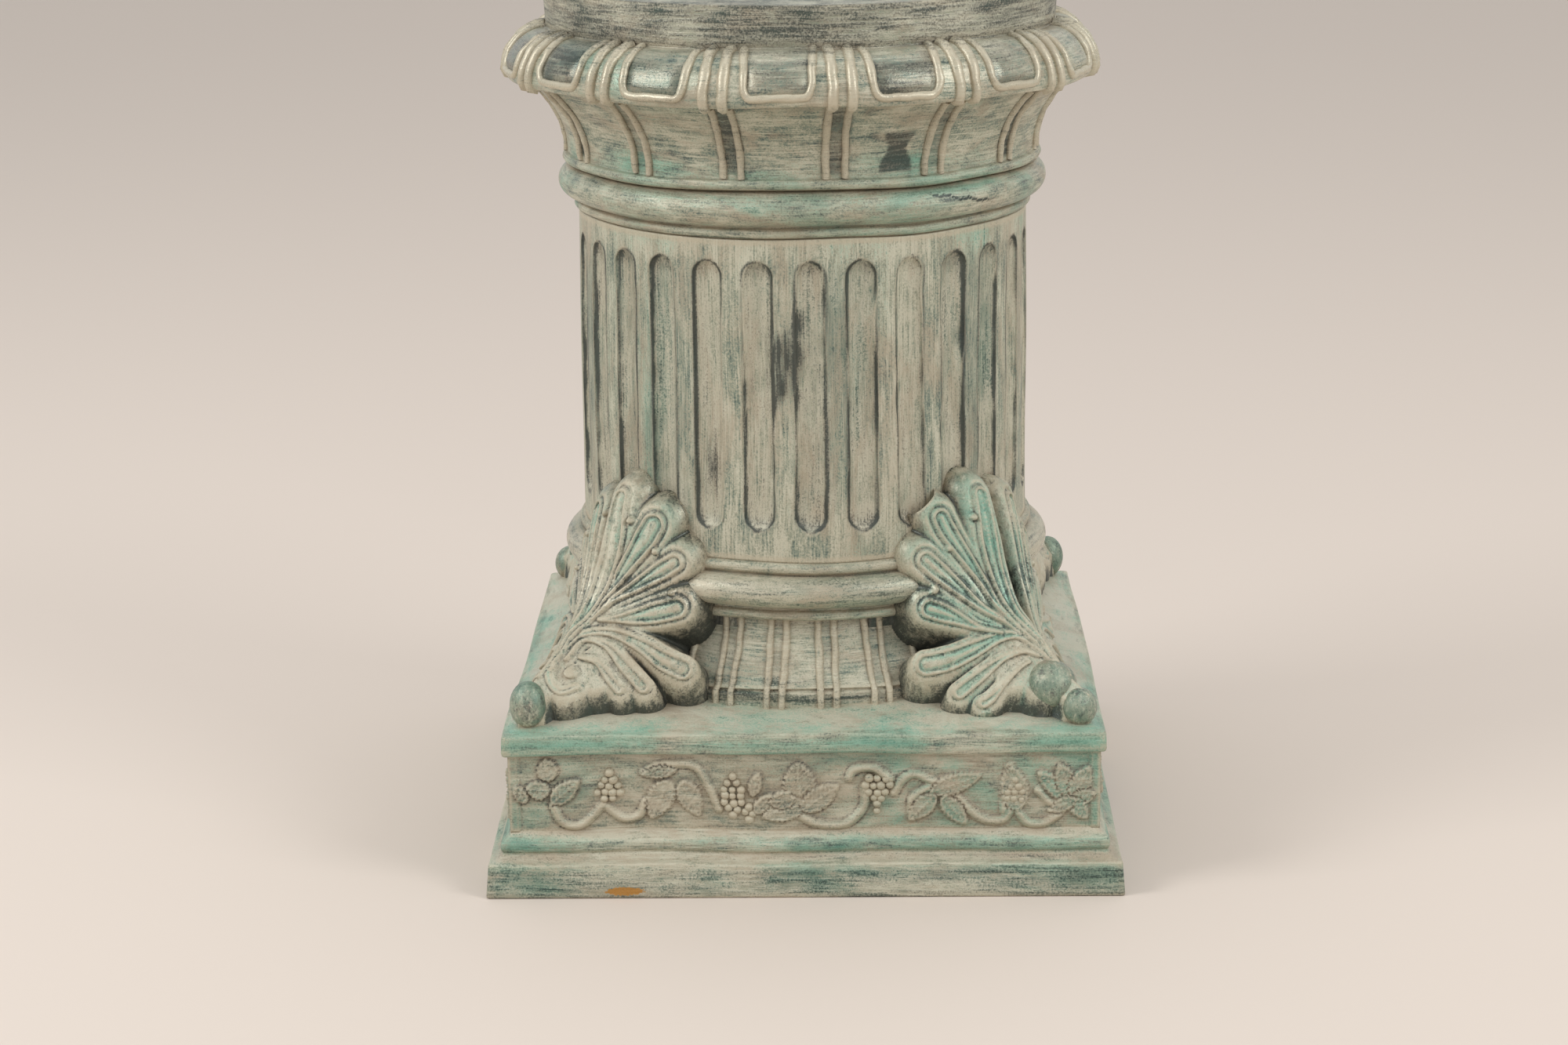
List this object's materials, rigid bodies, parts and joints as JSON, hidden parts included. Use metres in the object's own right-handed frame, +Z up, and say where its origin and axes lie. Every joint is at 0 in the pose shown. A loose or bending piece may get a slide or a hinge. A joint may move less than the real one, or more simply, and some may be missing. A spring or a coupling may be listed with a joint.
{
  "type": "pedestal column",
  "caption": "Cast bronze pedestal: fluted round shaft on a square plinth with a vine frieze, leaves on its corners, a ribbed and panelled cushion capital and a flat round top.",
  "frame": {"origin": "middle of the underside of the square plinth", "axes": "+Z up along the shaft, -Y towards the front of the picture, X and Y square to the plinth's sides"},
  "size_m": [0.43, 0.43, 0.5927],
  "materials": {
    "verdigris_bronze": "cast bronze with a dry-brushed chalky green patina, turquoise in the hollows, tan dirt and dark bronze on worn edges"
  },
  "bodies": {
    "root": {"pedestal_column": "verdigris_bronze"}
  },
  "joints": []
}
